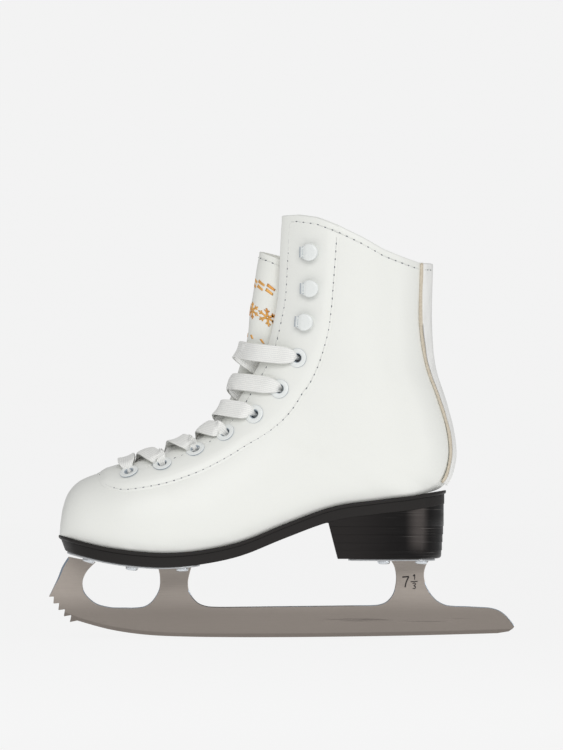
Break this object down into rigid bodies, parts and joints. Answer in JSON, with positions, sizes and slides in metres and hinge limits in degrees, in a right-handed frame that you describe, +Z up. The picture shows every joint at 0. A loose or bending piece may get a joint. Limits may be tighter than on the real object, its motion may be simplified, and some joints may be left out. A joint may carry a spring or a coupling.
{
  "type": "ice skate",
  "caption": "Child's figure skate: laced ankle boot with tongue, eyelets and lace hooks, stacked heel, and a steel blade with toe picks screwed to the sole.",
  "frame": {"origin": "on the ice under the middle of the skate: the centre of its box in X and Y, and the lowest point of the rocker in Z", "axes": "+Z up, -X towards the toe, +X towards the heel, -Y the outer side of the left foot, +Y the inner side; the blade lies in the plane Y = 0"},
  "size_m": [0.2368, 0.0719, 0.2138],
  "materials": {
    "leather": "smooth coated, satin",
    "fibreboard": "matte",
    "foam": "matte",
    "lining": "brushed",
    "sole_black": "lacquered",
    "rubber": "matte",
    "steel": "nickel plated",
    "blade_steel": "satin ground",
    "zinc": "bright",
    "painted_white": "gloss enamel",
    "lace": "flat woven",
    "aglet": "clear-coated"
  },
  "bodies": {
    "boot": {"upper": "leather", "eyestay": "leather", "backstay": "leather", "heel_counter": "fibreboard", "toe_puff": "fibreboard", "ankle_padding": "foam", "lining": "lining", "insole_board": "fibreboard", "footbed": "foam", "tongue_base": "leather", "welt": "sole_black", "sole_filler": "foam", "shank": "steel", "outsole": "sole_black", "heel_wedge": "sole_black", "heel_lift_1": "sole_black", "heel_lift_2": "sole_black", "heel_lift_3": "sole_black", "heel_top_piece": "rubber", "heel_nails": "steel", "sole_plate": "steel", "heel_plate": "steel", "blade": "blade_steel", "sole_plate_screws": "zinc", "heel_plate_screws": "zinc", "eyelets_left": "painted_white", "eyelets_right": "painted_white", "hooks_left": "painted_white", "hooks_right": "painted_white", "hook_rivets_left": "zinc", "hook_rivets_right": "zinc", "lace": "lace", "lace_end_left": "lace", "lace_end_right": "lace", "lace_coil_left": "lace", "lace_coil_right": "lace", "aglet_left": "aglet", "aglet_right": "aglet"},
    "tongue_flap": {"tongue_top": "leather"}
  },
  "joints": [
    {"name": "tongue_flex", "type": "hinge", "parent": "boot", "child": "tongue_flap", "pos_m": [-0.0175, 0, 0.1495], "axis": [0, -1, 0], "range_deg": [0, 35], "stiffness_Nm_per_rad": 0.08}
  ]
}
